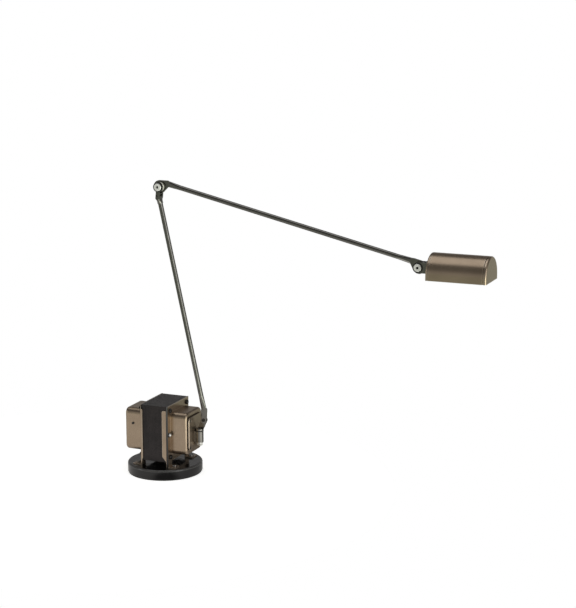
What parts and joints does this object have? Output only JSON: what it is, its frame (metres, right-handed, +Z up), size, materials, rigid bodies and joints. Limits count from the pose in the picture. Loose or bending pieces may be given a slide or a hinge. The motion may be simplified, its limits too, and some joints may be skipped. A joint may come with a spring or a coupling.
{
  "type": "articulated desk lamp with transformer base",
  "caption": "Desk lamp: exposed transformer on a round iron foot, two thin jointed arms, and a half-round shade that tilts and rolls round a capsule lamp.",
  "frame": {"origin": "centre of the foot's underside", "axes": "+Z up, +X along the transformer towards the shade, +Y to the back of the view in the picture"},
  "size_m": [0.5564, 0.111, 0.435],
  "materials": {
    "cast_foot": "black enamel, glossy on top, satin at the side",
    "felt": "dense felt",
    "laminations": "stacked dark oxide sheets under thin varnish",
    "bobbin_moulding": "phenolic moulding",
    "winding_wire": "enamelled copper wire",
    "bronze_sheet": "bronze metallic lacquer, semi gloss",
    "bronze_plate": "bronze metallic lacquer, satin",
    "bronze_shade": "bronze metallic lacquer on aluminium, semi gloss",
    "bright_aluminium": "bright rolled sheet",
    "black_chrome": "dark nickel plate",
    "nickel": "bright nickel plate",
    "zinc": "bright zinc plate",
    "black_steel": "black oxide",
    "black_rubber": "matt",
    "pale_spacer": "turned nylon",
    "black_plastic": "moulded, slight sheen",
    "lead_cover": "smooth insulation",
    "ceramic": "steatite, unglazed",
    "lead_sleeve": "woven glass sleeve",
    "quartz": "clear quartz glass"
  },
  "bodies": {
    "base": {"base_disc": "cast_foot", "base_pad": "felt", "foot_screws": "black_steel", "core": "laminations", "bobbin": "bobbin_moulding", "primary_winding": "winding_wire", "secondary_winding": "winding_wire", "core_bolts": "black_steel", "core_nuts": "black_steel", "left_bell": "bronze_sheet", "right_bell": "bronze_sheet", "earth_washer": "black_rubber", "earth_screw": "nickel", "terminal_block": "bobbin_moulding", "terminal_screw": "black_steel", "rocker_frame": "black_plastic", "cable_gland": "black_plastic", "gland_nut": "black_plastic", "gasket": "black_rubber", "end_plate": "bronze_plate", "plate_screws": "black_steel", "swivel_barrel": "black_chrome", "barrel_screws": "zinc"},
    "rocker": {"rocker": "black_plastic"},
    "swivel": {"swivel_washer": "black_rubber", "swivel_pin": "zinc", "spring_washer": "zinc", "swivel_nut": "zinc", "swivel_bracket": "black_chrome", "tilt_washer": "black_plastic", "tilt_screw": "black_steel", "tilt_nut": "black_steel"},
    "lower_arm": {"lower_arm": "black_chrome", "lower_lead": "lead_cover", "elbow_fork": "black_chrome", "stop_pin": "black_steel", "elbow_bolt": "nickel", "elbow_sleeve_nut": "nickel", "elbow_spacers": "pale_spacer", "elbow_washers": "black_plastic"},
    "upper_arm": {"upper_arm": "black_chrome", "upper_lead": "lead_cover"},
    "head_fork": {"head_bolt": "nickel", "head_sleeve_nut": "nickel", "head_spacers": "pale_spacer", "head_washers": "black_plastic", "head_fork": "black_chrome", "roll_washer": "black_rubber", "roll_nut": "zinc"},
    "shade": {"shade_body": "bronze_shade", "left_cap": "bronze_shade", "right_cap": "bronze_shade", "reflector": "bright_aluminium", "holder_strap": "zinc", "strap_rivets": "zinc", "lamp_holder": "ceramic", "holder_screws": "zinc", "capsule": "quartz", "capsule_pins": "zinc", "lamp_leads": "lead_sleeve"}
  },
  "joints": [
    {"name": "rocker_switch", "type": "hinge", "parent": "base", "child": "rocker", "pos_m": [-0.0522, 0, 0.0753], "axis": [0, 1, 0], "range_deg": [-16, 0]},
    {"name": "base_swivel", "type": "hinge", "parent": "base", "child": "swivel", "pos_m": [0.0575, 0, 0.058], "axis": [0, 0, 1], "range_deg": [-90, 90]},
    {"name": "lower_tilt", "type": "hinge", "parent": "swivel", "child": "lower_arm", "pos_m": [0.0642, 0, 0.0838], "axis": [0, 1, 0], "range_deg": [-35, 75]},
    {"name": "elbow", "type": "hinge", "parent": "lower_arm", "child": "upper_arm", "pos_m": [-0.0019, 0, 0.4255], "axis": [0, 1, 0], "range_deg": [-110, 30]},
    {"name": "head_tilt", "type": "hinge", "parent": "upper_arm", "child": "head_fork", "pos_m": [0.3925, 0, 0.3357], "axis": [0, 1, 0], "range_deg": [-75, 90]},
    {"name": "shade_roll", "type": "hinge", "parent": "head_fork", "child": "shade", "pos_m": [0.4096, 0, 0.3357], "axis": [1, 0, 0], "range_deg": [-120, 120]}
  ]
}
